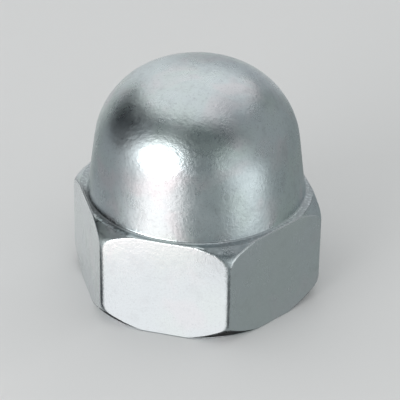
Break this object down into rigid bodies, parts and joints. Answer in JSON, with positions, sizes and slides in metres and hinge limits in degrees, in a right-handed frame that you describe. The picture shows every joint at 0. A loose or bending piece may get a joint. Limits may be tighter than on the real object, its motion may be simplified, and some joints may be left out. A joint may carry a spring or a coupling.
{
  "type": "cap nut",
  "caption": "Domed hexagon cap nut in zinc-plated steel, with a blind threaded hole, a drilled point and chamfered corners.",
  "frame": {"origin": "centre of the bearing face, on the thread's axis", "axes": "+Z along the thread's axis, from the open mouth to the top of the dome; two flats face -Y and +Y, and two corners lie on the X axis"},
  "size_m": [0.0194, 0.017, 0.018],
  "materials": {
    "zinc_plated_steel": "satin bright zinc plate over cold-formed steel, faintly blue-grey, with a fine turned grain"
  },
  "bodies": {
    "root": {"cap_nut": "zinc_plated_steel"}
  },
  "joints": []
}
